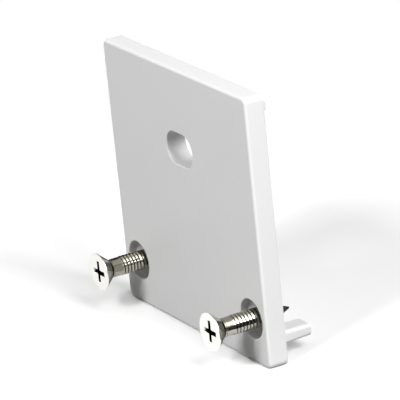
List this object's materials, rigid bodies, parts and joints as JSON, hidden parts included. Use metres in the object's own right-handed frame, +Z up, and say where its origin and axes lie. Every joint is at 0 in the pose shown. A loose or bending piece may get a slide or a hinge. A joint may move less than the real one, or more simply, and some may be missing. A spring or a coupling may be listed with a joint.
{
  "type": "profile end cap",
  "caption": "Square moulded end cap for a box profile, with a locating rib, locating lugs, a slot-shaped cable hole and countersunk screws standing half driven.",
  "frame": {"origin": "centre of the seating face, where the profile's own axis meets the cap", "axes": "+Y into the profile, square to the seating face; +Z up, towards the rib; +X to the right as seen from outside"},
  "size_m": [0.04, 0.0156, 0.04],
  "materials": {
    "cap_plastic": "light grey moulded plastic, fine matt texture",
    "screw_steel": "bright nickel-plated steel"
  },
  "bodies": {
    "root": {"end_cap": "cap_plastic", "left_screw": "screw_steel", "right_screw": "screw_steel"}
  },
  "joints": []
}
